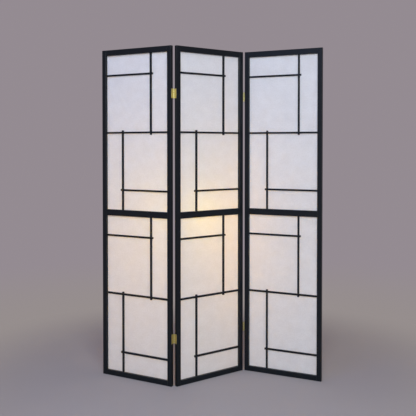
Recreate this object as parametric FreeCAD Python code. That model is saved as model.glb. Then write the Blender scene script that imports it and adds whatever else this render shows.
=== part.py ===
import FreeCAD, Part
import math
import os

# A folding screen of three like panels. Each panel is a wooden frame with a lattice of thin bars in
# two openings, a sheet of paper behind each lattice, and beads that hold the paper from behind.
# Two butt hinges join each pair of panels. All sizes are in millimetres, all angles in degrees.
#
# A panel is built in its own axes: X runs along its width from its left edge, Y runs from its front
# face to its back face, and Z is up from the floor.

# Panel frame
PANEL_HEIGHT = 1778.0
PANEL_WIDTH = 438.0
PANEL_THICKNESS = 19.0
STILE_WIDTH = 25.0
TOP_RAIL_HEIGHT = 30.0
MID_RAIL_HEIGHT = 33.0
BOTTOM_RAIL_HEIGHT = 27.0
MID_RAIL_UNDERSIDE = 878.0
FRAME_ARRIS = 1.0

# Tenons of the rails in the stiles
TENON_LENGTH = 12.0
TENON_THICKNESS = 6.0
TENON_FRONT_SHOULDER = 5.0
TENON_EDGE_SHOULDER = 7.0
TENON_FIT = 0.1
MORTISE_END_GAP = 1.0

# Lattice bars
BAR_WIDTH = 9.5
BAR_DEPTH = 9.0
BAR_SET_BACK = 5.0
BAR_ARRIS = 0.5
BAR_FROM_STILE = 104.5
BAR_FROM_RAIL = 108.0
NUB_LENGTH = 7.5
LAP_FIT = 0.05
STUB_LENGTH = 5.0
STUB_SHOULDER = 2.0
STUB_FIT = 0.1

# Paper, the rebate behind the lattice, and the beads
REBATE_WIDTH = 6.0
PAPER_THICKNESS = 0.3
PAPER_EDGE_GAP = 0.5
BEAD_SET_BACK = 0.6
BEAD_FIT = 0.15
BEAD_BEVEL = 1.6

# Butt hinges
HINGE_HEIGHT = 50.0
HINGE_FROM_END = 248.0
KNUCKLE_COUNT = 5
KNUCKLE_FIT = 0.3
PIN_DIAMETER = 3.5
PIN_FIT = 0.05
LEAF_THICKNESS = 1.2
LEAF_EDGE_MARGIN = 1.5
BARREL_CLEARANCE = 0.7
NOTCH_FIT = 0.4

# Wood screws in the hinge leaves. They are small and many, so a screw and its hole have flat sides.
SCREWS_PER_LEAF = 3
SCREW_SIDES = 8
SCREW_DIAMETER = 3.0
SCREW_LENGTH = 14.0
SCREW_POINT_DIAMETER = 0.8
SCREW_FROM_LEAF_END = 9.0
SCREW_STAGGER = 2.5
SCREW_FIT = 0.05

# How far each side panel is folded away from flat as the screen stands
LEFT_FOLD = 62.7
RIGHT_FOLD = 59.7

# Derived sizes that several pieces share
INNER_WIDTH = PANEL_WIDTH - 2 * STILE_WIDTH
MID_RAIL_TOP = MID_RAIL_UNDERSIDE + MID_RAIL_HEIGHT
TOP_RAIL_UNDERSIDE = PANEL_HEIGHT - TOP_RAIL_HEIGHT
PAPER_FRONT = BAR_SET_BACK + BAR_DEPTH
PAPER_BACK = PAPER_FRONT + PAPER_THICKNESS
LAP_PLANE = BAR_SET_BACK + BAR_DEPTH / 2
PIN_RADIUS = PIN_DIAMETER / 2
KNUCKLE_BORE = PIN_RADIUS + PIN_FIT
BARREL_RADIUS = KNUCKLE_BORE + LEAF_THICKNESS
PANEL_GAP = 2 * BARREL_RADIUS
AXIS_PROUD = BARREL_RADIUS + BARREL_CLEARANCE
KNUCKLE_HEIGHT = (HINGE_HEIGHT - (KNUCKLE_COUNT - 1) * KNUCKLE_FIT) / KNUCKLE_COUNT
SCREW_RADIUS = SCREW_DIAMETER / 2
SCREW_HEAD_RADIUS = SCREW_RADIUS + LEAF_THICKNESS
HINGE_CENTRES = {"upper": PANEL_HEIGHT - HINGE_FROM_END, "lower": HINGE_FROM_END}

ORIGIN = FreeCAD.Vector(0, 0, 0)
ACROSS = FreeCAD.Vector(1, 0, 0)
BACKWARD = FreeCAD.Vector(0, 1, 0)
UP = FreeCAD.Vector(0, 0, 1)


def block(low, high):
    """Straight-sided block between two opposite corners."""
    sizes = [b - a for a, b in zip(low, high)]
    return Part.makeBox(*sizes, FreeCAD.Vector(*low))


def prism(points, run):
    """Closed outline through 3-D points, carried along a vector."""
    corners = [FreeCAD.Vector(*point) for point in points]
    outline = Part.makePolygon(corners + corners[:1])
    return Part.Face(outline).extrude(run)


def bevelled_outline(low, high, bevels):
    """Corners of a rectangle in two coordinates, each corner cut by its own bevel (0 leaves it sharp).

    The bevels are in the order low-low, high-low, high-high, low-high.
    """
    (a0, b0), (a1, b1) = low, high
    corners = [(a0, b0, 1, 1), (a1, b0, -1, 1), (a1, b1, -1, -1), (a0, b1, 1, -1)]
    points = []
    for (a, b, inward_a, inward_b), bevel in zip(corners, bevels):
        along = [(a, b + inward_b * bevel), (a + inward_a * bevel, b)]
        if inward_a * inward_b < 0:
            along.reverse()
        points += along if bevel else [(a, b)]
    return points


def upright_bar(x_span, y_span, z_span, bevels):
    """Vertical timber of bevelled section."""
    outline = bevelled_outline((x_span[0], y_span[0]), (x_span[1], y_span[1]), bevels)
    points = [(x, y, z_span[0]) for x, y in outline]
    return prism(points, UP * (z_span[1] - z_span[0]))


def level_bar(x_span, y_span, z_span, bevels):
    """Horizontal timber of bevelled section, along X."""
    outline = bevelled_outline((y_span[0], z_span[0]), (y_span[1], z_span[1]), bevels)
    points = [(x_span[0], y, z) for y, z in outline]
    return prism(points, ACROSS * (x_span[1] - x_span[0]))


def grown(span, margin):
    """A low and high value, moved apart by a margin at both ends."""
    return (span[0] - margin, span[1] + margin)


def centred(middle, width):
    """Low and high value of a width about its middle."""
    return (middle - width / 2, middle + width / 2)


def spans_block(x_span, y_span, z_span):
    """Block from its low and high value along each axis."""
    return block(*zip(x_span, y_span, z_span))


# The openings of a panel

def opening(level):
    """X span and Z span of the upper or lower opening, between the frame's inner edges."""
    heights = {
        "upper": (MID_RAIL_TOP, TOP_RAIL_UNDERSIDE),
        "lower": (BOTTOM_RAIL_HEIGHT, MID_RAIL_UNDERSIDE),
    }
    return (STILE_WIDTH, STILE_WIDTH + INNER_WIDTH), heights[level]


def rebate(level):
    """Recess round an opening, from the paper's face to the back of the panel."""
    x_span, z_span = opening(level)
    depth = (PAPER_FRONT, PANEL_THICKNESS)
    return spans_block(grown(x_span, REBATE_WIDTH), depth, grown(z_span, REBATE_WIDTH))


# Lattice

def lattice_lines(level):
    """Centre lines of an opening's bars: X of the two uprights, Z of the three cross bars."""
    x_span, z_span = opening(level)
    return {
        "standing": x_span[0] + BAR_FROM_STILE,
        "hanging": x_span[1] - BAR_FROM_STILE,
        "upper_cross": z_span[1] - BAR_FROM_RAIL,
        "middle_cross": sum(z_span) / 2,
        "lower_cross": z_span[0] + BAR_FROM_RAIL,
    }


def bar_ends(kind, level):
    """Visible low and high end of a bar along its length.

    A bar that stops short runs past the bar it crosses last by half a bar and a nub.
    """
    x_span, z_span = opening(level)
    lines = lattice_lines(level)
    past = BAR_WIDTH / 2 + NUB_LENGTH
    return {
        "hanging": (lines["middle_cross"] - past, z_span[1]),
        "standing": (z_span[0], lines["middle_cross"] + past),
        "upper_cross": (x_span[0], lines["hanging"] + past),
        "middle_cross": x_span,
        "lower_cross": (lines["standing"] - past, x_span[1]),
    }[kind]


BAR_CROSSINGS = {
    "hanging": ("upper_cross", "middle_cross"),
    "standing": ("middle_cross", "lower_cross"),
    "upper_cross": ("hanging",),
    "middle_cross": ("standing", "hanging"),
    "lower_cross": ("standing",),
}
UPRIGHT_KINDS = ("hanging", "standing")


def stub_block(kind, level, margin):
    """Stub tenons of a bar as one long block that reaches into the frame wherever the bar meets it."""
    x_span, z_span = opening(level)
    upright = kind in UPRIGHT_KINDS
    limits = z_span if upright else x_span
    low, high = bar_ends(kind, level)
    low -= (STUB_LENGTH + margin) if low == limits[0] else -STUB_LENGTH
    high += (STUB_LENGTH + margin) if high == limits[1] else -STUB_LENGTH
    line = lattice_lines(level)[kind]
    side = grown(centred(line, BAR_WIDTH), margin - STUB_SHOULDER)
    depth = grown((BAR_SET_BACK, PAPER_FRONT), margin - STUB_SHOULDER)
    if upright:
        return spans_block(side, depth, (low, high))
    return spans_block((low, high), depth, side)


def lattice_bar(kind, level):
    """One bar with bevelled front arrises, stub tenons at the frame and half-lap notches.

    Uprights keep their front half at a crossing and cross bars keep their back half.
    """
    upright = kind in UPRIGHT_KINDS
    lines = lattice_lines(level)
    side = centred(lines[kind], BAR_WIDTH)
    depth = (BAR_SET_BACK, PAPER_FRONT)
    ends = bar_ends(kind, level)
    notch_depth = (LAP_PLANE - LAP_FIT, PANEL_THICKNESS) if upright else (0, LAP_PLANE + LAP_FIT)
    if upright:
        bar = upright_bar(side, depth, ends, (BAR_ARRIS, BAR_ARRIS, 0, 0))
    else:
        bar = level_bar(ends, depth, side, (BAR_ARRIS, 0, 0, BAR_ARRIS))
    bar = bar.fuse(stub_block(kind, level, 0))
    for crossed in BAR_CROSSINGS[kind]:
        gap = grown(centred(lines[crossed], BAR_WIDTH), LAP_FIT)
        wide = grown(side, BAR_WIDTH)
        notch = spans_block(wide, notch_depth, gap) if upright else spans_block(gap, notch_depth, wide)
        bar = bar.cut(notch)
    return bar.removeSplitter()


def lattice_sockets():
    """Pockets that all stub tenons need in the frame."""
    return [stub_block(kind, level, STUB_FIT) for kind in BAR_CROSSINGS for level in ("upper", "lower")]


# Frame

RAIL_SPANS = {
    "top": (TOP_RAIL_UNDERSIDE, PANEL_HEIGHT),
    "mid": (MID_RAIL_UNDERSIDE, MID_RAIL_TOP),
    "bottom": (0, BOTTOM_RAIL_HEIGHT),
}


def tenon_block(rail, margin, end_gap):
    """Tenons of a rail as one block from stile to stile, grown by a margin for the mortises."""
    x_span = grown(opening("upper")[0], TENON_LENGTH + end_gap)
    y_span = grown((TENON_FRONT_SHOULDER, TENON_FRONT_SHOULDER + TENON_THICKNESS), margin)
    z_span = grown(RAIL_SPANS[rail], margin - TENON_EDGE_SHOULDER)
    return spans_block(x_span, y_span, z_span)


def frame_rail(rail):
    """Rail between the stiles with its tenons, lattice sockets and rear rebates."""
    x_span = opening("upper")[0]
    timber = level_bar(x_span, (0, PANEL_THICKNESS), RAIL_SPANS[rail], (FRAME_ARRIS,) * 4)
    timber = timber.fuse(tenon_block(rail, 0, 0))
    return timber.cut([rebate("upper"), rebate("lower")] + lattice_sockets()).removeSplitter()


def frame_stile(x_span, edge_holes):
    """Upright of the frame with its mortises, lattice sockets, rear rebates and screw holes."""
    timber = upright_bar(x_span, (0, PANEL_THICKNESS), (0, PANEL_HEIGHT), (FRAME_ARRIS,) * 4)
    mortises = [tenon_block(rail, TENON_FIT, MORTISE_END_GAP) for rail in RAIL_SPANS]
    cuts = mortises + lattice_sockets() + [rebate("upper"), rebate("lower")] + edge_holes
    return timber.cut(cuts).removeSplitter()


# Paper and beads

def paper_sheet(level):
    """Sheet that lies on the lattice and the rebate's shoulder."""
    x_span, z_span = opening(level)
    reach = REBATE_WIDTH - PAPER_EDGE_GAP
    return spans_block(grown(x_span, reach), (PAPER_FRONT, PAPER_BACK), grown(z_span, reach))


def bead_outline(near, far, toward):
    """Section of a bead across its width and depth, bevelled where it faces the opening."""
    back = PANEL_THICKNESS - BEAD_SET_BACK
    return [
        (near, PAPER_BACK),
        (near, back - BEAD_BEVEL),
        (near + toward * BEAD_BEVEL, back),
        (far, back),
        (far, PAPER_BACK),
    ]


def paper_beads(level):
    """Four mitred beads that press the paper against the rebate's shoulder."""
    inner_x, inner_z = opening(level)
    outer_x = grown(inner_x, REBATE_WIDTH - BEAD_FIT)
    outer_z = grown(inner_z, REBATE_WIDTH - BEAD_FIT)
    beads = []
    for end, toward in ((0, -1), (1, 1)):
        section = [(x, y, outer_z[0]) for x, y in bead_outline(inner_x[end], outer_x[end], toward)]
        upright = prism(section, UP * (outer_z[1] - outer_z[0]))
        upright_mitre = [
            (outer_x[end], outer_z[0]),
            (inner_x[end], inner_z[0]),
            (inner_x[end], inner_z[1]),
            (outer_x[end], outer_z[1]),
        ]
        section = [(outer_x[0], y, z) for z, y in bead_outline(inner_z[end], outer_z[end], toward)]
        level_strip = prism(section, ACROSS * (outer_x[1] - outer_x[0]))
        level_mitre = [
            (outer_x[0], outer_z[end]),
            (inner_x[0], inner_z[end]),
            (inner_x[1], inner_z[end]),
            (outer_x[1], outer_z[end]),
        ]
        for strip, mitre in ((upright, upright_mitre), (level_strip, level_mitre)):
            wedge = prism([(x, 0, z) for x, z in mitre], BACKWARD * PANEL_THICKNESS)
            beads.append(strip.common(wedge))
    return Part.makeCompound(beads)


# Hinges. A leaf is built in the axes of the edge that it is screwed to: X runs out of the wood, Y
# runs across the edge to the face beside the barrel, and Z is measured from the hinge's middle.

AXIS_X = BARREL_RADIUS
AXIS_Y = PANEL_THICKNESS + AXIS_PROUD
PLATE_END = AXIS_Y - BARREL_RADIUS - NOTCH_FIT


def knuckle_outline():
    """Leaf end rolled round the pin: a plate tangent to a ring, as a face with the bore left out."""
    meet = math.sqrt(BARREL_RADIUS ** 2 - (BARREL_RADIUS - LEAF_THICKNESS) ** 2)
    far_side = FreeCAD.Vector(AXIS_X + BARREL_RADIUS, AXIS_Y, 0)
    tangent = FreeCAD.Vector(0, AXIS_Y, 0)
    joined = FreeCAD.Vector(LEAF_THICKNESS, AXIS_Y - meet, 0)
    top = FreeCAD.Vector(AXIS_X, AXIS_Y + BARREL_RADIUS, 0)
    below = FreeCAD.Vector(AXIS_X, AXIS_Y - BARREL_RADIUS, 0)
    outer_low = FreeCAD.Vector(0, PLATE_END, 0)
    inner_low = FreeCAD.Vector(LEAF_THICKNESS, PLATE_END, 0)
    edges = [
        Part.LineSegment(outer_low, tangent).toShape(),
        Part.Arc(tangent, top, far_side).toShape(),
        Part.Arc(far_side, below, joined).toShape(),
        Part.LineSegment(joined, inner_low).toShape(),
        Part.LineSegment(inner_low, outer_low).toShape(),
    ]
    bore = Part.makeCircle(KNUCKLE_BORE, FreeCAD.Vector(AXIS_X, AXIS_Y, 0), UP)
    return Part.Face([Part.Wire(edges), Part.Wire([bore])])


def screw_places():
    """Y and Z of a leaf's screws: evenly spaced up the leaf, staggered to either side of its middle."""
    middle = (LEAF_EDGE_MARGIN + PANEL_THICKNESS) / 2
    travel = HINGE_HEIGHT - 2 * SCREW_FROM_LEAF_END
    places = []
    for index in range(SCREWS_PER_LEAF):
        side = SCREW_STAGGER if index % 2 else -SCREW_STAGGER
        height = travel * (index / (SCREWS_PER_LEAF - 1) - 1 / 2)
        places.append((middle + side, height))
    return places


def hinge_leaf(first_knuckle):
    """Plate with every second knuckle from the given one, and countersunk screw holes."""
    half = HINGE_HEIGHT / 2
    leaf = block((0, LEAF_EDGE_MARGIN, -half), (LEAF_THICKNESS, PLATE_END, half))
    knuckles = []
    for index in range(first_knuckle, KNUCKLE_COUNT, 2):
        knuckle = knuckle_outline().extrude(UP * KNUCKLE_HEIGHT)
        knuckle.translate(UP * (index * (KNUCKLE_HEIGHT + KNUCKLE_FIT) - half))
        knuckles.append(knuckle)
    sinks = [countersink(y, z) for y, z in screw_places()]
    return leaf.fuse(knuckles).cut(sinks).removeSplitter()


def hinge_pin():
    """Pin through all knuckles, flush with both ends of the barrel."""
    foot = FreeCAD.Vector(AXIS_X, AXIS_Y, -HINGE_HEIGHT / 2)
    return Part.makeCylinder(PIN_RADIUS, HINGE_HEIGHT, foot, UP)


def flat_sided_turning(stations, y, z):
    """Turned shape along X with a regular polygon for its round section.

    Each station is a distance out of the wood and the radius there.
    """
    rings = []
    for x, radius in stations:
        turns = [2 * math.pi * index / SCREW_SIDES for index in range(SCREW_SIDES)]
        rings.append([FreeCAD.Vector(x, y + radius * math.cos(t), z + radius * math.sin(t)) for t in turns])
    outlines = [rings[0], rings[-1]]
    for ring, following in zip(rings, rings[1:]):
        for index in range(SCREW_SIDES):
            before = index - 1
            outlines.append([ring[before], ring[index], following[index], following[before]])
    faces = [Part.Face(Part.makePolygon(outline + outline[:1])) for outline in outlines]
    return Part.Solid(Part.Shell(faces))


def countersink(y, z):
    """Space that a screw's head takes in a leaf."""
    stations = [(0, SCREW_RADIUS + SCREW_FIT), (LEAF_THICKNESS, SCREW_HEAD_RADIUS + SCREW_FIT)]
    return flat_sided_turning(stations, y, z)


def wood_screw(y, z):
    """Countersunk screw: its flat head fills the leaf and its tapered shank is in the wood."""
    stations = [
        (-SCREW_LENGTH, SCREW_POINT_DIAMETER / 2),
        (0, SCREW_RADIUS),
        (LEAF_THICKNESS, SCREW_HEAD_RADIUS),
    ]
    return flat_sided_turning(stations, y, z)


def screw_hole(y, z):
    """Bore in the stile's edge for one screw, drawn from beyond the edge to past the screw's point."""
    radius = SCREW_RADIUS + SCREW_FIT
    return flat_sided_turning([(-SCREW_LENGTH - SCREW_FIT, radius), (LEAF_THICKNESS, radius)], y, z)


def on_edge(shape, edge, barrel_face, level):
    """Carry a hinge piece from its own axes to the left or right edge of a panel.

    The piece is turned over for the left edge, and again for a barrel in front of the panel.
    """
    placed = shape.copy()
    if edge == "left":
        placed = placed.mirror(ORIGIN, ACROSS)
    if barrel_face == "front":
        placed = placed.mirror(FreeCAD.Vector(0, PANEL_THICKNESS / 2, 0), BACKWARD)
    placed.translate(FreeCAD.Vector(PANEL_WIDTH if edge == "right" else 0, 0, HINGE_CENTRES[level]))
    return placed


# Where the hinges sit on each panel: edge of the panel and face beside the barrel
HINGED_EDGES = {
    "left": [("right", "back")],
    "centre": [("left", "back"), ("right", "front")],
    "right": [("left", "front")],
}


def edge_pieces(panel, piece):
    """Copies of a screw or screw hole for every screw in a panel's hinged edges, keyed by edge."""
    pieces = {"left": [], "right": []}
    for edge, barrel_face in HINGED_EDGES[panel]:
        for level in HINGE_CENTRES:
            pieces[edge] += [on_edge(piece(y, z), edge, barrel_face, level) for y, z in screw_places()]
    return pieces


# How the panels stand

def turned(x, y, angle):
    """Point in plan, turned about the origin."""
    return FreeCAD.Rotation(UP, angle).multVec(FreeCAD.Vector(x, y, 0))


FRONT_AXIS = -AXIS_PROUD


def panel_places(heading):
    """Angle and corner of each panel in plan, for a centre panel that runs along the given heading.

    Each side panel is turned back from flat about the hinge axis that it shares with the centre panel.
    """
    left_axis = turned(-PANEL_GAP / 2, AXIS_Y, heading)
    right_axis = turned(PANEL_WIDTH + PANEL_GAP / 2, FRONT_AXIS, heading)
    left_angle = heading - LEFT_FOLD
    right_angle = heading - RIGHT_FOLD
    return {
        "left": (left_angle, left_axis - turned(PANEL_WIDTH + PANEL_GAP / 2, AXIS_Y, left_angle)),
        "centre": (heading, ORIGIN),
        "right": (right_angle, right_axis - turned(-PANEL_GAP / 2, FRONT_AXIS, right_angle)),
    }


def panel_corners(places):
    """Corners of all panels in plan."""
    corners = []
    for angle, corner in places.values():
        for x in (0, PANEL_WIDTH):
            corners += [corner + turned(x, y, angle) for y in (0, PANEL_THICKNESS)]
    return corners


def standing_places():
    """Places of the panels with the screen's two ends level across X and its middle at the origin."""
    first = panel_places(0)
    left_end = first["left"][1]
    right_end = first["right"][1] + turned(PANEL_WIDTH, 0, first["right"][0])
    line = right_end - left_end
    places = panel_places(-math.degrees(math.atan2(line.y, line.x)))
    corners = panel_corners(places)
    middle_x = (min(c.x for c in corners) + max(c.x for c in corners)) / 2
    middle_y = (min(c.y for c in corners) + max(c.y for c in corners)) / 2
    middle = FreeCAD.Vector(middle_x, middle_y, 0)
    return {name: (angle, corner - middle) for name, (angle, corner) in places.items()}


def stand(shape, place):
    """Carry a piece from its panel's axes to where the panel stands."""
    angle, corner = place
    moved = shape.copy()
    moved.Placement = FreeCAD.Placement(corner, FreeCAD.Rotation(UP, angle)).multiply(moved.Placement)
    return moved


# All pieces of a panel, and the file of each

def panel_pieces(panel):
    """Pieces of one panel by name, in the panel's own axes."""
    holes = edge_pieces(panel, screw_hole)
    screws = edge_pieces(panel, wood_screw)
    pieces = {
        "left_stile": frame_stile((0, STILE_WIDTH), holes["left"]),
        "right_stile": frame_stile((PANEL_WIDTH - STILE_WIDTH, PANEL_WIDTH), holes["right"]),
        "hinge_screws": Part.makeCompound(screws["left"] + screws["right"]),
    }
    for rail in RAIL_SPANS:
        pieces[rail + "_rail"] = frame_rail(rail)
    for kind in BAR_CROSSINGS:
        twins = [lattice_bar(kind, level) for level in ("upper", "lower")]
        pieces[kind + "_bars"] = Part.makeCompound(twins)
    for level in ("upper", "lower"):
        pieces[level + "_paper"] = paper_sheet(level)
        pieces[level + "_paper_beads"] = paper_beads(level)
    return {panel + "_panel_" + name: shape for name, shape in pieces.items()}


def hinge_pieces(panel, level):
    """One hinge between the centre panel and a side panel: piece, edge, face and panel that carry it."""
    side_edge, barrel_face = HINGED_EDGES[panel][0]
    centre_edge = "left" if panel == "left" else "right"
    name = panel + "_" + level + "_hinge_"
    return {
        name + "side_leaf": (hinge_leaf(0), side_edge, barrel_face, panel),
        name + "pin": (hinge_pin(), side_edge, barrel_face, panel),
        name + "centre_leaf": (hinge_leaf(1), centre_edge, barrel_face, "centre"),
    }


def build():
    """Every piece of the screen where it stands, by node name."""
    places = standing_places()
    nodes = {}
    for panel, place in places.items():
        for name, shape in panel_pieces(panel).items():
            nodes[name] = stand(shape, place)
    for panel in ("left", "right"):
        for level in HINGE_CENTRES:
            for name, (shape, edge, face, carrier) in hinge_pieces(panel, level).items():
                nodes[name] = stand(on_edge(shape, edge, face, level), places[carrier])
    return nodes


os.makedirs("parts", exist_ok=True)
for node_name, node_shape in build().items():
    node_shape.exportStep("parts/" + node_name + ".step")
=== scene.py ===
import math

import bpy
import numpy as np
from mathutils import Matrix, Vector


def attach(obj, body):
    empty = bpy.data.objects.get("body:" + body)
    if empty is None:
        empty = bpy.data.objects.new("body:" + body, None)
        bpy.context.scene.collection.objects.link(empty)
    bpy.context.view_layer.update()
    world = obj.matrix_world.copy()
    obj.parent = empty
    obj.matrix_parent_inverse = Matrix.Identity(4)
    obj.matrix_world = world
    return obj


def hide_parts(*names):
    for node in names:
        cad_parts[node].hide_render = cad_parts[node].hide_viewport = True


# A folding screen of three panels: black lacquered frames and lattice bars, white paper behind the
# bars, and brass butt hinges. Lengths are in metres. A panel's own axes run across it from its left
# edge, from its front face to its back face, and up from the floor.

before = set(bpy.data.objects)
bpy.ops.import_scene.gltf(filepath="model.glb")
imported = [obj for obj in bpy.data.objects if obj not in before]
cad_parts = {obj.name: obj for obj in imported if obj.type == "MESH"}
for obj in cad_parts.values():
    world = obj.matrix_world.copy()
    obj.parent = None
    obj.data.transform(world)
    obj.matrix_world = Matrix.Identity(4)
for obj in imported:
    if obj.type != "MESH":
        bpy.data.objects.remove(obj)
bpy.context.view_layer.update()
MM = 0.001

# Panel frame
PANEL_HEIGHT = 1778 * MM
PANEL_WIDTH = 438 * MM
PANEL_THICKNESS = 19 * MM
STILE_WIDTH = 25 * MM
TOP_RAIL_HEIGHT = 30 * MM
MID_RAIL_HEIGHT = 33 * MM
BOTTOM_RAIL_HEIGHT = 27 * MM
MID_RAIL_UNDERSIDE = 878 * MM

# Hinge barrel: leaves rolled round a pin. Its place is how far its axis stands out of the panel's edge,
# and how far behind the front face when it is at the back.
LEAF_THICKNESS = 1.2 * MM
PIN_RADIUS = 1.75 * MM
PIN_FIT = 0.05 * MM
BARREL_RADIUS = PIN_RADIUS + PIN_FIT + LEAF_THICKNESS
BARREL_CLEARANCE = 0.7 * MM
BARREL_PLACE = (BARREL_RADIUS, PANEL_THICKNESS + BARREL_RADIUS + BARREL_CLEARANCE)

# How far each side panel is folded away from flat as the screen stands, in degrees
LEFT_FOLD = 62.7
RIGHT_FOLD = 59.7


def turned(x, y, angle):
    """Point in plan, turned about the origin by an angle in degrees."""
    turn = math.radians(angle)
    return np.array([x * math.cos(turn) - y * math.sin(turn), x * math.sin(turn) + y * math.cos(turn)])


def panel_places(heading):
    """Angle and front left corner of each panel in plan, with the centre panel's corner at the origin.

    A side panel is turned back from flat about the hinge axis that it shares with the centre panel. Its
    corner is that axis, less the axis's place on the side panel turned by the side panel's angle.
    """
    out, behind = BARREL_PLACE
    in_front = PANEL_THICKNESS - behind
    left_angle, right_angle = heading - LEFT_FOLD, heading - RIGHT_FOLD
    left_axis = turned(-out, behind, heading)
    right_axis = turned(PANEL_WIDTH + out, in_front, heading)
    return {
        "left": (left_angle, left_axis - turned(PANEL_WIDTH + out, behind, left_angle)),
        "centre": (heading, np.zeros(2)),
        "right": (right_angle, right_axis - turned(-out, in_front, right_angle)),
    }


def standing_places():
    """Places of the panels with the screen's two ends in line along X and its middle at the origin.

    They are rounded to 0.0001 degrees and 0.1 micrometres.
    """
    first = panel_places(0)
    right_angle, right_corner = first["right"]
    line = right_corner + turned(PANEL_WIDTH, 0, right_angle) - first["left"][1]
    places = panel_places(-math.degrees(math.atan2(line[1], line[0])))
    corners = np.array([
        corner + turned(x, y, angle)
        for angle, corner in places.values() for x in (0, PANEL_WIDTH) for y in (0, PANEL_THICKNESS)
    ])
    middle = (corners.min(0) + corners.max(0)) / 2
    return {
        name: (round(angle, 4), tuple(round(float(value), 7) for value in corner - middle))
        for name, (angle, corner) in places.items()
    }


PANELS = standing_places()


def in_panel(points, panel):
    """Carry points from a panel's own axes to where it stands: turn them by its angle, add its corner."""
    angle, (x, y) = PANELS[panel]
    turn = np.array(Matrix.Rotation(math.radians(angle), 3, "Z"))
    return points @ turn.T + np.array([x, y, 0.0])


# Shader nodes

class Wire:
    """Output of a node in a finish. The usual signs on it add Math nodes."""

    def __init__(self, finish, socket):
        self.finish, self.socket = finish, socket

    def math(self, operation, first, second):
        return self.finish.node("ShaderNodeMath", {"operation": operation}, {0: first, 1: second})

    def __add__(self, other):
        return self.math("ADD", self, other)

    def __radd__(self, other):
        return self.math("ADD", other, self)

    def __sub__(self, other):
        return self.math("SUBTRACT", self, other)

    def __rsub__(self, other):
        return self.math("SUBTRACT", other, self)

    def __mul__(self, other):
        return self.math("MULTIPLY", self, other)

    def __rmul__(self, other):
        return self.math("MULTIPLY", other, self)

    def __abs__(self):
        return self.math("ABSOLUTE", self, 0.0)


class Finish:
    """A material that is being made."""

    def __init__(self, name):
        self.material = bpy.data.materials.new(name)
        self.material.use_nodes = True
        self.tree = self.material.node_tree
        self.tree.nodes.clear()

    def node(self, kind, settings=None, sockets=None, output=0):
        """Add a node: its settings come first, then the value or link of each socket."""
        made = self.tree.nodes.new(kind)
        for name, value in (settings or {}).items():
            setattr(made, name, value)
        for name, value in (sockets or {}).items():
            if isinstance(value, Wire):
                self.tree.links.new(value.socket, made.inputs[name])
            else:
                made.inputs[name].default_value = value
        return Wire(self, made.outputs[output]) if made.outputs else None

    def noise(self, place, scale, detail=2.0, roughness=0.5, distortion=0.0):
        """Cloudy noise about one half."""
        sockets = {
            "Vector": place,
            "Scale": scale,
            "Detail": detail,
            "Roughness": roughness,
            "Distortion": distortion,
        }
        return self.node("ShaderNodeTexNoise", {}, sockets)

    def rise(self, value, low, high):
        """Smooth step: 0 below low, 1 above high. With low above high it falls instead."""
        sockets = {"Value": value, "From Min": low, "From Max": high}
        if low > high:
            sockets.update({"From Min": high, "From Max": low, "To Min": 1.0, "To Max": 0.0})
        return self.node("ShaderNodeMapRange", {"interpolation_type": "SMOOTHSTEP"}, sockets)

    def between(self, share, first, second):
        """Colour that goes from the first to the second as share goes from 0 to 1."""
        return self.node("ShaderNodeMix", {"data_type": "RGBA"}, {0: share, 6: first, 7: second}, output=2)

    def vector(self, operation, first, second, output=0):
        return self.node("ShaderNodeVectorMath", {"operation": operation}, {0: first, 1: second}, output)

    def placed(self, corner=(0.0, 0.0), angle=0.0):
        """Object coordinates, taken to axes that stand at a corner and are turned by an angle."""
        where = self.node("ShaderNodeTexCoord", output="Object")
        sockets = {
            "Vector": where,
            "Location": (*corner, 0.0),
            "Rotation": (0.0, 0.0, math.radians(angle)),
        }
        return self.node("ShaderNodeMapping", {"vector_type": "TEXTURE"}, sockets)

    def arris(self, radius, low, high):
        """1 at the edges of a piece and 0 on its flats: a smooth step of how far the rounded normal leans."""
        rounded = self.node("ShaderNodeBevel", {"samples": 6}, {"Radius": radius})
        flat = self.node("ShaderNodeNewGeometry", output="Normal")
        lean = 1 - self.vector("DOT_PRODUCT", rounded, flat, output="Value")
        return self.rise(lean, low, high)

    def relief(self, height, depth, ease=None):
        """Normal for a height in metres times depth, over edges that are rounded by ease if it is given."""
        sockets = {"Height": height, "Distance": depth, "Strength": 1.0}
        if ease:
            sockets["Normal"] = self.node("ShaderNodeBevel", {"samples": 6}, {"Radius": ease})
        return self.node("ShaderNodeBump", {}, sockets)

    def done(self, surface):
        self.node("ShaderNodeOutputMaterial", {}, {"Surface": surface})
        return self.material


LACQUER_DEEP = (0.0030, 0.0052, 0.0075, 1)
LACQUER_PALE = (0.0060, 0.0092, 0.0130, 1)
LACQUER_IN_PORES = (0.0020, 0.0035, 0.0050, 1)
RUBBED_WOOD = (0.055, 0.044, 0.036, 1)
DUST = (0.30, 0.29, 0.28, 1)


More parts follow.
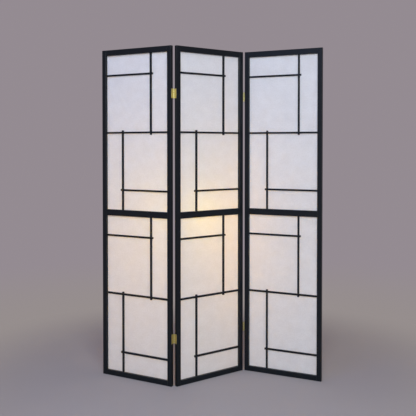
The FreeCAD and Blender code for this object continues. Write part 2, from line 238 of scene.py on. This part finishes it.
def lacquer(name, panel, upright, satin, rubbed):
    """Black lacquer over open-grained wood, for pieces whose grain runs up or across a panel.

    Pores and growth rings are low relief along the grain. Spraying leaves a fine peel, handling rubs
    the arrises thin, and a little dust lies on what faces up.
    """
    finish = Finish(name)
    angle, corner = PANELS[panel]
    at = finish.placed(corner, angle)
    along = (1.0, 1.0, 0.02) if upright else (0.02, 1.0, 1.0)
    run = finish.vector("MULTIPLY", at, along)
    rings = finish.noise(run, 95.0, detail=3.0, roughness=0.55, distortion=0.6)
    pores = finish.rise(finish.noise(run, 900.0, detail=2.0), 0.60, 0.74)
    peel = finish.noise(at, 420.0, detail=1.0)
    patches = finish.noise(at, 9.0, detail=3.0, roughness=0.6)
    handled = finish.rise(finish.noise(at, 38.0, detail=4.0, roughness=0.65), 0.42, 0.68)
    bare = finish.arris(1.6 * MM, 0.015, 0.14) * (0.25 + 0.75 * handled)
    normal = finish.node("ShaderNodeNewGeometry", output="Normal")
    up = finish.node("ShaderNodeSeparateXYZ", {}, {0: normal}, output="Z")
    dust = finish.rise(up, 0.75, 0.98) * (0.35 + 0.65 * finish.noise(at, 160.0, detail=4.0, roughness=0.7))

    coated = finish.between(patches, LACQUER_DEEP, LACQUER_PALE)
    grained = finish.between(rings * 0.5 + pores * 0.35, coated, LACQUER_IN_PORES)
    rubbed_thin = finish.between(bare * rubbed, grained, RUBBED_WOOD)
    colour = finish.between(dust * 0.10, rubbed_thin, DUST)

    height = peel * 0.30 + rings * 0.45 - pores * 0.55
    shader = finish.node("ShaderNodeBsdfPrincipled", {}, {
        "Base Color": colour,
        "Roughness": satin + 0.10 * (patches - 0.5) + 0.10 * pores + 0.14 * bare + 0.16 * dust,
        "Specular IOR Level": 0.24,
        "Coat Weight": 0.12 - 0.09 * bare,
        "Coat Roughness": 0.22,
        "Normal": finish.relief(height, 0.05 * MM, ease=0.7 * MM),
    })
    return finish.done(shader)


PAPER_THIN = (0.77, 0.77, 0.775, 1)
PAPER_DENSE = (0.92, 0.92, 0.925, 1)
LIGHT_THROUGH_PAPER = (0.935, 0.918, 0.89, 1)


def shoji_paper(name, roll):
    """White paper that lets light through, with long fibres, a faint laid grain and cloudy thickness.

    roll shifts the pattern, as each sheet is cut from another place on the roll.
    """
    finish = Finish(name)
    sheet = finish.node("ShaderNodeUVMap", {"uv_map": "sheet"})
    at = finish.vector("ADD", sheet, (0.53 * roll, 1.37 * roll, 0.0))

    def strands(scale, turn, fine):
        """Thin curved lines where a smooth noise passes one half, broken into lengths by a second noise."""
        run = finish.node("ShaderNodeMapping", {}, {
            "Vector": at, "Rotation": (0.0, 0.0, math.radians(turn)), "Scale": (1.0, 0.45, 1.0),
        })
        off_middle = abs(finish.noise(run, scale, detail=1.0, distortion=0.8) - 0.5)
        line = finish.rise(off_middle, fine, 0.2 * fine)
        return line * finish.rise(finish.noise(run, 0.7 * scale + 7, detail=0.0), 0.50, 0.62)

    fibres = (strands(70.0, 15, 0.020) + strands(95.0, 75, 0.024) + strands(48.0, 130, 0.014)) * 0.6
    across = finish.noise(finish.vector("MULTIPLY", at, (60.0, 620.0, 1.0)), 1.0, detail=2.0)
    upward = finish.noise(finish.vector("MULTIPLY", at, (560.0, 45.0, 1.0)), 1.0, detail=2.0)
    laid = (across + upward) * 0.5
    pulp = finish.noise(at, 130.0, detail=4.0, roughness=0.7)
    clouds = finish.noise(at, 22.0, detail=3.0, roughness=0.6)
    dense = (laid - 0.5) * 0.8 + (pulp - 0.5) * 1.5 + (clouds - 0.5) * 0.9 + fibres * 0.16

    white = finish.between(finish.rise(dense, -0.40, 0.40), PAPER_THIN, PAPER_DENSE)
    front = finish.node("ShaderNodeBsdfPrincipled", {}, {
        "Base Color": white,
        "Roughness": 0.80 - 0.10 * fibres,
        "Specular IOR Level": 0.25,
        "Normal": finish.relief(laid * 0.7 + pulp * 0.5 + fibres * 0.6, 0.12 * MM),
    })
    through = finish.node("ShaderNodeBsdfTranslucent", {}, {"Color": LIGHT_THROUGH_PAPER})
    share = 0.50 - 0.20 * dense
    return finish.done(finish.node("ShaderNodeMixShader", {}, {0: share, 1: front, 2: through}))


BRASS_CLEAN = (0.67, 0.58, 0.27, 1)
BRASS_DULL = (0.38, 0.31, 0.14, 1)
BRASS_POLISHED = (0.90, 0.80, 0.46, 1)


def brass(name, brushed, tarnish):
    """Rolled brass: fine lines along the hinge, soft stains, and edges polished by handling."""
    finish = Finish(name)
    at = finish.placed()
    lines = finish.noise(finish.vector("MULTIPLY", at, (1.0, 1.0, 0.05)), 2600.0, detail=3.0, roughness=0.6)
    stains = finish.noise(at, 130.0, detail=4.0, roughness=0.65, distortion=0.4)
    spots = finish.rise(finish.noise(at, 700.0, detail=2.0), 0.62, 0.75)
    polished = finish.arris(0.5 * MM, 0.02, 0.20)
    dull = finish.rise(stains, 0.45, 0.70) * tarnish + 0.20 * spots
    warm = finish.between(dull, BRASS_CLEAN, BRASS_DULL)
    colour = finish.between(polished * 0.45, warm, BRASS_POLISHED)
    shader = finish.node("ShaderNodeBsdfPrincipled", {}, {
        "Base Color": colour,
        "Metallic": 1.0,
        "Roughness": 0.49 + 0.12 * dull + brushed * (lines - 0.5) - 0.12 * polished,
        "Normal": finish.relief(lines * brushed + spots * 0.2, 0.02 * MM, ease=0.15 * MM),
    })
    return finish.done(shader)


# Surfaces

def grid_faces(rows, columns, wrap=False):
    """Four-sided faces of a grid of points that are numbered row by row.

    wrap joins the last column to the first.
    """
    i, j = np.meshgrid(np.arange(rows - 1), np.arange(columns - (not wrap)), indexing="ij")
    after = (j + 1) % columns
    corners = [i * columns + j, i * columns + after, (i + 1) * columns + after, (i + 1) * columns + j]
    return np.stack(corners, axis=-1).reshape(-1, 4)


def slab(front, back):
    """Closed sheet between two like grids of points: both faces, and a strip from border to border."""
    rows, columns = front.shape[:2]
    index = np.arange(rows * columns).reshape(rows, columns)
    border = np.concatenate([index[0, :-1], index[:-1, -1], index[-1, :0:-1], index[:0:-1, 0]])
    after = np.roll(border, -1)
    faces = grid_faces(rows, columns)
    strip = np.stack([border, border + index.size, after + index.size, after], axis=-1)
    points = np.concatenate([front.reshape(-1, 3), back.reshape(-1, 3)])
    return points, [faces, faces[:, ::-1] + index.size, strip]


def capped(rings):
    """Closed surface through rings of points, from a first middle point to a last one.

    The middle points are the averages of the first and last ring.
    """
    rows, columns = rings.shape[:2]
    points = np.concatenate([rings.reshape(-1, 3), [rings[0].mean(0)], [rings[-1].mean(0)]])
    ring = np.arange(columns)
    after = np.roll(ring, -1)
    last = (rows - 1) * columns
    first_fan = np.stack([after, ring, np.full(columns, rows * columns)], axis=-1)
    last_fan = np.stack([last + ring, last + after, np.full(columns, rows * columns + 1)], axis=-1)
    return points, [grid_faces(rows, columns, wrap=True), first_fan, last_fan]


def volume(points, faces):
    """Signed volume inside closed faces: a sixth of the triple products of their triangles' corners."""
    total = 0.0
    for group in faces:
        for k in range(1, group.shape[1] - 1):
            a, b, c = points[group[:, 0]], points[group[:, k]], points[group[:, k + 1]]
            total += np.einsum("ij,ij->i", a, np.cross(b, c)).sum() / 6
    return total


def make_piece(name, shells, finish, body, replaced, sheet_map=None):
    """Mesh object from closed shells that rides on a body and stands for a CAD node.

    A shell whose signed volume is below 0 is inside out, so its faces are turned round.
    """
    points, faces, start = [], [], 0
    for shell_points, shell_faces in shells:
        inside_out = volume(shell_points - shell_points.mean(0), shell_faces) < 0
        for group in shell_faces:
            faces += ((group[:, ::-1] if inside_out else group) + start).tolist()
        points.append(shell_points)
        start += len(shell_points)
    mesh = bpy.data.meshes.new(name)
    mesh.from_pydata(np.concatenate(points).tolist(), [], faces)
    mesh.polygons.foreach_set("use_smooth", np.ones(len(mesh.polygons), bool))
    if sheet_map is not None:
        corners = np.empty(len(mesh.loops), np.int32)
        mesh.loops.foreach_get("vertex_index", corners)
        layer = mesh.uv_layers.new(name="sheet")
        layer.data.foreach_set("uv", sheet_map[corners].astype(np.float32).ravel())
    mesh.materials.append(finish)
    made = bpy.data.objects.new(name, mesh)
    bpy.context.scene.collection.objects.link(made)
    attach(made, body)
    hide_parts(replaced)
    return made


# Paper

PAPER_REACH = 5.5 * MM
PAPER_FRONT = 14 * MM
PAPER_THICKNESS = 0.3 * MM
PAPER_COLUMNS, PAPER_ROWS = 68, 143
OPENINGS = {
    "upper": (MID_RAIL_UNDERSIDE + MID_RAIL_HEIGHT, PANEL_HEIGHT - TOP_RAIL_HEIGHT),
    "lower": (BOTTOM_RAIL_HEIGHT, MID_RAIL_UNDERSIDE),
}

# Lattice bars that the paper is glued to
BAR_HALF = 4.75 * MM
BAR_FROM_STILE = 104.5 * MM
BAR_FROM_RAIL = 108 * MM
NUB_LENGTH = 7.5 * MM

# How far the paper stands back between the bars, and the ripples in it. Their middle is given from the
# left stile and above the middle of the opening.
SLACK_DEPTH = 1.1 * MM
SLACK_REACH = 45 * MM
RIPPLE_MIDDLE = (100 * MM, 165 * MM)
RIPPLE_HEIGHT = 0.35 * MM
RIPPLE_PITCH = 37 * MM
RIPPLE_SPREAD = 52 * MM


def held_lines(level):
    """Middle and half size, in X and Z, of the box where each lattice bar holds the paper."""
    low, high = OPENINGS[level]
    left, right = STILE_WIDTH, PANEL_WIDTH - STILE_WIDTH
    standing, hanging = left + BAR_FROM_STILE, right - BAR_FROM_STILE
    middle, past = (low + high) / 2, BAR_HALF + NUB_LENGTH
    upper, lower = high - BAR_FROM_RAIL, low + BAR_FROM_RAIL
    spans = [
        (standing, standing, low, middle + past),
        (hanging, hanging, middle - past, high),
        (left, hanging + past, upper, upper),
        (left, right, middle, middle),
        (standing - past, right, lower, lower),
    ]
    return [
        ((x0 + x1) / 2, (x1 - x0) / 2 + BAR_HALF, (z0 + z1) / 2, (z1 - z0) / 2 + BAR_HALF)
        for x0, x1, z0, z1 in spans
    ]


def ripples(x, z, level, roll):
    """Slanting ripples that the drying paste leaves in the paper, different on each sheet.

    They are raised cosines of the distance across them, under a bell curve of the same distance. Their
    middle is in the large cell above the middle bar, and along their slant they run on past it. From
    sheet to sheet the slant goes up to 40 degrees either side of 33, and the strength from 0.1 to 1.
    """
    x0 = STILE_WIDTH + RIPPLE_MIDDLE[0]
    z0 = sum(OPENINGS[level]) / 2 + RIPPLE_MIDDLE[1]
    slant = math.radians(33 + 40 * math.sin(roll - 1))
    strength = 0.55 + 0.45 * math.cos(roll - 1)
    across = (x - x0) * math.cos(slant) + (z - z0) * math.sin(slant)
    raised = 1 - np.cos(2 * math.pi * across / RIPPLE_PITCH)
    return RIPPLE_HEIGHT * strength * raised * np.exp(-(across / RIPPLE_SPREAD) ** 2)


def slack(x, z, level, roll):
    """How far the paper stands back from the bars: 0 where it is glued, and slack between.

    It is 1 - exp(-(d / SLACK_REACH)^2) of the distance d to the nearest glued place, times the sum of
    slow waves and ripples.
    """
    low, high = OPENINGS[level]
    to_frame = np.minimum.reduce([x - STILE_WIDTH, PANEL_WIDTH - STILE_WIDTH - x, z - low, high - z])
    nearest = np.clip(to_frame, 0, None)
    for x0, half_x, z0, half_z in held_lines(level):
        beside = np.hypot(np.clip(abs(x - x0) - half_x, 0, None), np.clip(abs(z - z0) - half_z, 0, None))
        nearest = np.minimum(nearest, beside)
    waves = 0.6 + 0.2 * np.sin(31 * x + 11 * z + roll) + 0.2 * np.sin(13 * x - 23 * z + 2.3 * roll)
    free = 1 - np.exp(-(nearest / SLACK_REACH) ** 2)
    return (SLACK_DEPTH * waves + ripples(x, z, level, roll)) * free


def paper_sheet(panel, level, roll):
    """Sheet on a grid across the opening and the rebate round it, set back by its slack."""
    low, high = OPENINGS[level]
    across = np.linspace(STILE_WIDTH - PAPER_REACH, PANEL_WIDTH - STILE_WIDTH + PAPER_REACH, PAPER_COLUMNS)
    up = np.linspace(low - PAPER_REACH, high + PAPER_REACH, PAPER_ROWS)
    x, z = np.meshgrid(across, up)
    front = np.stack([x, PAPER_FRONT + slack(x, z, level, roll), z], axis=-1)
    back = front + np.array([0, PAPER_THICKNESS, 0])
    points, faces = slab(front, back)
    sheet_map = points[:, [0, 2]]
    finish = shoji_paper("shoji_paper_" + panel + "_" + level, roll)
    sheet = make_piece(
        panel + "_" + level + "_paper_sheet", [(in_panel(points, panel), faces)], finish,
        panel + "_panel", panel + "_panel_" + level + "_paper", sheet_map,
    )
    return sheet


# Hinges. A leaf's own axes run out of the wood, across the panel's edge towards the barrel, and up
# from the hinge's middle.

HINGE_HEIGHT = 50 * MM
HINGE_HALF = HINGE_HEIGHT / 2
HINGE_FROM_END = 248 * MM
HINGE_HEIGHTS = {"upper": PANEL_HEIGHT - HINGE_FROM_END, "lower": HINGE_FROM_END}
LEAF_START = 1.5 * MM
NOTCH_FIT = 0.4 * MM
PLATE_END = BARREL_PLACE[1] - BARREL_RADIUS - NOTCH_FIT
KNUCKLE_COUNT = 5
KNUCKLE_FIT = 0.3 * MM
KNUCKLE_HEIGHT = (HINGE_HEIGHT - (KNUCKLE_COUNT - 1) * KNUCKLE_FIT) / KNUCKLE_COUNT
KNUCKLE_PITCH = KNUCKLE_HEIGHT + KNUCKLE_FIT

# Screws: three up a leaf, staggered to either side of its middle
SCREW_RADIUS = 1.5 * MM
SCREW_HEAD_RADIUS = SCREW_RADIUS + LEAF_THICKNESS
SCREW_LENGTH = 14 * MM
SCREW_MIDDLE = (LEAF_START + PANEL_THICKNESS) / 2
SCREW_STAGGER = 2.5 * MM
SCREW_SPACING = HINGE_HALF - 9 * MM
SCREW_PLACES = (
    (SCREW_MIDDLE - SCREW_STAGGER, -SCREW_SPACING),
    (SCREW_MIDDLE + SCREW_STAGGER, 0.0),
    (SCREW_MIDDLE - SCREW_STAGGER, SCREW_SPACING),
)
HINGED_EDGES = {
    "left": [("right", "back")],
    "centre": [("left", "back"), ("right", "front")],
    "right": [("left", "front")],
}


def on_edge(points, panel, edge, barrel, level):
    """Carry points from a leaf's axes to an edge of a panel, with the barrel behind it or in front."""
    x, y, z = points[:, 0], points[:, 1], points[:, 2]
    x = PANEL_WIDTH + x if edge == "right" else -x
    y = PANEL_THICKNESS - y if barrel == "front" else y
    return in_panel(np.stack([x, y, z + HINGE_HEIGHTS[level]], axis=-1), panel)


def eased_steps(low, high, ease, step):
    """Values from low to high, close together within an ease of both ends."""
    near = ease * np.array([0, 0.1, 0.3, 0.6, 1.0])
    inner = np.linspace(low + ease, high - ease, max(2, round((high - low) / step)))[1:-1]
    return np.concatenate([low + near, inner, (high - near)[::-1]])


def leaf_plate():
    """Flat of a leaf with round outer corners, eased rims and a sunk ring round each screw.

    The face stands at the thickness less e (1 - sqrt(1 - (1 - d / e)^2)) within an ease e of the rim
    at distance d, and less a smooth groove about each screw head.
    """
    ease, corner = 0.35 * MM, 2.0 * MM
    groove_out, groove_width, groove_depth = 0.1 * MM, 0.28 * MM, 0.25 * MM
    across = eased_steps(LEAF_START, PLATE_END, ease, 0.45 * MM)
    up = eased_steps(-HINGE_HALF, HINGE_HALF, ease, 0.5 * MM)
    y, z = np.meshgrid(across, up)
    rim = np.minimum.reduce([y - LEAF_START, PLATE_END - y, z + HINGE_HALF, HINGE_HALF - z])
    # Outer corners: a point in a corner's square keeps its larger offset as its distance from the middle
    # of the round
    aside = np.clip((LEAF_START + corner - y) / corner, 0, 1)
    above = np.clip((abs(z) - HINGE_HALF + corner) / corner, 0, 1)
    inward = np.where(aside * above > 0, np.maximum(aside, above) / np.hypot(aside, above).clip(1e-9), 1)
    y = np.where(aside > 0, LEAF_START + corner - aside * inward * corner, y)
    z = np.where(above > 0, np.sign(z) * (HINGE_HALF - corner + above * inward * corner), z)

    over = 1 - np.clip(rim / ease, 0, 1)
    face = LEAF_THICKNESS - ease * (1 - np.sqrt(1 - over ** 2))
    for y0, z0 in SCREW_PLACES:
        away = (np.hypot(y - y0, z - z0) - SCREW_HEAD_RADIUS - groove_out) / groove_width
        face = face - groove_depth * np.exp(-away ** 2)
    return slab(np.stack([face, y, z], axis=-1), np.stack([np.zeros_like(y), y, z], axis=-1))


def rolled_knuckle(index):
    """End of a leaf rolled round the pin: a thin eased section along a straight run and most of a turn."""
    middle = BARREL_RADIUS - LEAF_THICKNESS / 2
    run = np.linspace(PLATE_END - 0.5 * MM, BARREL_PLACE[1], 5)[:-1]
    straight = np.stack([np.full_like(run, LEAF_THICKNESS / 2), run], axis=-1)
    turn = np.radians(np.linspace(180, -128, 45))
    curl = np.array(BARREL_PLACE) + middle * np.stack([np.cos(turn), np.sin(turn)], axis=-1)
    path = np.concatenate([straight, curl])
    ahead = np.gradient(path, axis=0)
    ahead /= np.linalg.norm(ahead, axis=1, keepdims=True)
    aside = np.stack([-ahead[:, 1], ahead[:, 0]], axis=-1)

    ease, half, tall = 0.2 * MM, LEAF_THICKNESS / 2, KNUCKLE_HEIGHT / 2
    quarter = np.radians(np.linspace(0, 90, 5))
    corner = np.stack([half - ease + ease * np.cos(quarter), tall - ease + ease * np.sin(quarter)], axis=-1)
    section = np.concatenate([corner, corner[::-1] * (-1, 1), corner * (-1, -1), corner[::-1] * (1, -1)])
    plan = path[:, None, :] + aside[:, None, :] * section[None, :, :1]
    height = np.broadcast_to(section[None, :, 1:], (*plan.shape[:2], 1))
    centre = -HINGE_HALF + index * KNUCKLE_PITCH + tall
    return capped(np.concatenate([plan, height + centre], axis=-1))


def hinge_pin():
    """Turned pin with domed ends: rings whose radius and height follow a quarter ellipse at both ends."""
    dome_height = 0.4 * MM
    dome = np.radians(np.linspace(4, 90, 7))
    radius = np.concatenate([PIN_RADIUS * np.sin(dome), PIN_RADIUS * np.sin(dome[::-1])])
    crown = dome_height * (1 - np.cos(dome))
    height = np.concatenate([-HINGE_HALF + crown, (HINGE_HALF - crown)[::-1]])
    around = np.radians(np.arange(0, 360, 10))
    x = BARREL_PLACE[0] + radius[:, None] * np.cos(around)
    y = BARREL_PLACE[1] + radius[:, None] * np.sin(around)
    return capped(np.stack([x, y, np.broadcast_to(height[:, None], x.shape)], axis=-1))


def wood_screw(place, turn):
    """Turned screw: a low domed head with a cross sunk in it, a countersunk cone and a tapered shank.

    The cross is the deeper of two slots at right angles, turned by an angle.
    """
    crown, below_face, head_side, cross_depth = 0.15 * MM, 0.02 * MM, 0.15 * MM, 0.75 * MM
    head = SCREW_HEAD_RADIUS * np.linspace(0.04, 1, 20)
    shank_out = np.array([0.0, -4 * MM, -11 * MM, -SCREW_LENGTH])
    shank_radius = np.array([SCREW_RADIUS, 1.35 * MM, 1.1 * MM, 0.2 * MM])
    radius = np.concatenate([head, [SCREW_HEAD_RADIUS], shank_radius])
    domed = LEAF_THICKNESS + crown * (1 - (head / SCREW_HEAD_RADIUS) ** 2) - below_face
    out = np.concatenate([domed, [LEAF_THICKNESS - head_side], shank_out])
    around = np.radians(np.arange(0, 360, 5))
    y, z = radius[:, None] * np.cos(around), radius[:, None] * np.sin(around)
    a, b = y * math.cos(turn) + z * math.sin(turn), z * math.cos(turn) - y * math.sin(turn)

    def slot(aside, along):
        """1 in the middle of a slot that is 1.1 mm wide and 3.4 mm long, with slanting sides and ends."""
        within_sides = np.clip((0.55 * MM - abs(aside)) / (0.25 * MM), 0, 1)
        return within_sides * np.clip((1.7 * MM - abs(along)) / (0.5 * MM), 0, 1)

    sunk = cross_depth * np.maximum(slot(a, b), slot(b, a))
    sunk[len(head):] = 0
    rings = np.stack([out[:, None] - sunk, y + place[0], z + place[1]], axis=-1)
    return capped(rings)


def dress_hinge(panel, level, leaf_brass, pin_brass):
    """Both leaves and the pin of the hinge between the centre panel and a side panel."""
    side_edge, barrel = HINGED_EDGES[panel][0]
    centre_edge = "left" if panel == "left" else "right"
    name = panel + "_" + level + "_hinge_"
    leaves = (("side_leaf", 0, panel, side_edge), ("centre_leaf", 1, "centre", centre_edge))
    for part, first, carrier, edge in leaves:
        shells = [leaf_plate()] + [rolled_knuckle(index) for index in range(first, KNUCKLE_COUNT, 2)]
        shells = [(on_edge(points, carrier, edge, barrel, level), faces) for points, faces in shells]
        make_piece(name + part + "_brass", shells, leaf_brass, carrier + "_panel", name + part)
    points, faces = hinge_pin()
    shells = [(on_edge(points, panel, side_edge, barrel, level), faces)]
    make_piece(name + "pin_brass", shells, pin_brass, panel + "_panel", name + "pin")


def dress_screws(panel, screw_brass):
    """All hinge screws of a panel, each with its cross turned by the golden angle from the one before."""
    golden_angle = math.radians(137.5)
    shells, count = [], 0
    for edge, barrel in HINGED_EDGES[panel]:
        for level in HINGE_HEIGHTS:
            for place in SCREW_PLACES:
                points, faces = wood_screw(place, count * golden_angle)
                shells.append((on_edge(points, panel, edge, barrel, level), faces))
                count += 1
    name = panel + "_panel_hinge_screws"
    make_piece(name + "_turned", shells, screw_brass, panel + "_panel", name)


# Dressing

UPRIGHT_FRAME = ("left_stile", "right_stile")
LEVEL_FRAME = ("top_rail", "mid_rail", "bottom_rail")
UPRIGHT_LATTICE = ("hanging_bars", "standing_bars")
LEVEL_LATTICE = ("upper_cross_bars", "middle_cross_bars", "lower_cross_bars")
BEADS = ("upper_paper_beads", "lower_paper_beads")

# Roughness of the lacquer, and how far its arrises are rubbed thin
FRAME_WEAR = (0.36, 0.5)
BAR_WEAR = (0.42, 0.3)


def paint(panel, kinds, finish):
    """Give a finish to CAD nodes of a panel."""
    for kind in kinds:
        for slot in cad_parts[panel + "_panel_" + kind].material_slots:
            slot.material = finish


papers = []
for number, panel in enumerate(PANELS):
    paint(panel, UPRIGHT_FRAME, lacquer("frame_lacquer_upright_" + panel, panel, True, *FRAME_WEAR))
    paint(panel, LEVEL_FRAME, lacquer("frame_lacquer_level_" + panel, panel, False, *FRAME_WEAR))
    paint(panel, UPRIGHT_LATTICE, lacquer("lattice_lacquer_upright_" + panel, panel, True, *BAR_WEAR))
    paint(panel, LEVEL_LATTICE + BEADS, lacquer("lattice_lacquer_level_" + panel, panel, False, *BAR_WEAR))
    papers += [paper_sheet(panel, "upper", 2 * number + 1), paper_sheet(panel, "lower", 2 * number + 2)]

leaf_brass = brass("hinge_brass", brushed=0.16, tarnish=0.55)
pin_brass = brass("hinge_pin_brass", brushed=0.08, tarnish=0.35)
screw_brass = brass("screw_brass", brushed=0.05, tarnish=0.45)
for panel in ("left", "right"):
    for level in HINGE_HEIGHTS:
        dress_hinge(panel, level, leaf_brass, pin_brass)
for panel in PANELS:
    dress_screws(panel, screw_brass)


# Floor, light and camera

BACKDROP = (0.297, 0.259, 0.287)
PALE_FLOOR = (0.305, 0.271, 0.267)
NEAR_FLOOR_DARK = (0.40, 0.36, 0.355, 1)
NEAR_FLOOR_LIGHT = (0.44, 0.40, 0.39, 1)
FLOOR_HEIGHT = -0.5 * MM

# Camera, fitted to the photograph in its frame of 416 x 416 pixels: focal length and the row of the
# camera's axis in pixels, its place in metres, and its turn to the left and down in radians
FRAME_SIDE = 416
FOCAL_LENGTH = 648.56
AXIS_ROW = 160
SENSOR_WIDTH = 36
EYE_PLACE = (0.35870, -3.47739, 1.25609)
TURN_LEFT = 0.1069
TURN_DOWN = 0.0212


def studio_floor():
    """Plain pale floor: a disc that is lit round the screen and blends into the backdrop further out."""
    radius = np.array([0.02, 1.0, 2.0, 4.0, 8.0, 16.0, 32.0, 60.0])
    around = np.radians(np.arange(0, 360, 5))
    x, y = radius[:, None] * np.cos(around), radius[:, None] * np.sin(around)
    rings = np.stack([x, y, np.full_like(x, FLOOR_HEIGHT)], axis=-1)
    rows, columns = rings.shape[:2]
    middle = rows * columns
    fan = np.stack([np.full(columns, middle), np.arange(columns), np.roll(np.arange(columns), -1)], axis=-1)
    mesh = bpy.data.meshes.new("studio_floor")
    points = np.concatenate([rings.reshape(-1, 3), [[0, 0, FLOOR_HEIGHT]]])
    faces = grid_faces(rows, columns, wrap=True)[:, ::-1].tolist() + fan.tolist()
    mesh.from_pydata(points.tolist(), [], faces)

    finish = Finish("studio_floor")
    at = finish.placed()
    out = finish.vector("LENGTH", at, (0, 0, 0), output="Value")
    pale = finish.between(finish.noise(at, 1.3), NEAR_FLOOR_DARK, NEAR_FLOOR_LIGHT)
    near_floor = finish.node("ShaderNodeBsdfPrincipled", {}, {
        "Base Color": pale, "Roughness": 0.9, "Specular IOR Level": 0.0,
    })
    tone = finish.between(finish.rise(out, 1.5, 4.0), (*PALE_FLOOR, 1), (*BACKDROP, 1))
    haze = finish.node("ShaderNodeEmission", {}, {"Color": tone, "Strength": 1.0})
    sweep = finish.node("ShaderNodeMixShader", {}, {0: finish.rise(out, 0.8, 1.8), 1: near_floor, 2: haze})
    mesh.materials.append(finish.done(sweep))
    floor = bpy.data.objects.new("studio_floor", mesh)
    bpy.context.scene.collection.objects.link(floor)


def softbox(name, place, target, size, colour, power):
    """Square area light that faces a target."""
    light = bpy.data.lights.new(name, "AREA")
    light.shape, light.size, light.color, light.energy = "SQUARE", size, colour, power
    box = bpy.data.objects.new(name, light)
    box.location = place
    box.rotation_euler = (Vector(target) - Vector(place)).to_track_quat("-Z", "Y").to_euler()
    box.visible_camera = False
    bpy.context.scene.collection.objects.link(box)
    return box


def lamp(name, place, radius, colour, power):
    """Soft round lamp."""
    light = bpy.data.lights.new(name, "POINT")
    light.shadow_soft_size, light.color, light.energy = radius, colour, power
    bulb = bpy.data.objects.new(name, light)
    bulb.location = place
    bulb.visible_camera = False
    bpy.context.scene.collection.objects.link(bulb)
    return bulb


def studio():
    """Even backdrop, a large softbox in front, a cool one overhead, and lights behind the screen.

    The lights behind are a cool softbox and two warm lamps. They reach only the paper.
    """
    world = bpy.data.worlds.new("backdrop")
    world.use_nodes = True
    background = world.node_tree.nodes["Background"]
    background.inputs["Color"].default_value = (*BACKDROP, 1)
    background.inputs["Strength"].default_value = 1.0
    bpy.context.scene.world = world
    softbox("front_softbox", (0.7, -4.2, 2.4), (0.0, 0.0, 0.9), 2.2, (0.83, 0.94, 1.0), 164)
    softbox("overhead_softbox", (-1.2, -2.2, 3.4), (0.0, 0.0, 1.2), 1.8, (0.16, 0.34, 1.0), 20)
    behind = [
        softbox("rear_softbox", (-0.6, 2.4, 2.8), (0.0, 0.0, 1.3), 1.6, (0.0, 0.29, 1.0), 27),
        lamp("near_lamp", (-0.143, 0.096, 0.888), 0.06, (1.0, 0.73, 0.0), 1.28),
        lamp("far_lamp", (-0.062, 0.697, 0.760), 0.12, (1.0, 0.51, 0.0), 23),
    ]
    lit_through = bpy.data.collections.new("lit_through")
    for sheet in papers:
        lit_through.objects.link(sheet)
    for light in behind:
        light.light_linking.receiver_collection = lit_through


def camera():
    """Camera 3.5 m in front of the screen and 1.26 m up, turned a little left and down."""
    data = bpy.data.cameras.new("camera")
    data.lens, data.sensor_width = FOCAL_LENGTH / FRAME_SIDE * SENSOR_WIDTH, SENSOR_WIDTH
    data.shift_y = -(FRAME_SIDE / 2 - AXIS_ROW) / FRAME_SIDE
    eye = bpy.data.objects.new("camera", data)
    eye.location = EYE_PLACE
    level = math.cos(TURN_DOWN)
    ahead = Vector((-math.sin(TURN_LEFT) * level, math.cos(TURN_LEFT) * level, -math.sin(TURN_DOWN)))
    eye.rotation_euler = ahead.to_track_quat("-Z", "Y").to_euler()
    bpy.context.scene.collection.objects.link(eye)
    bpy.context.scene.camera = eye


studio_floor()
studio()
camera()
bpy.context.scene.view_settings.view_transform = "Standard"
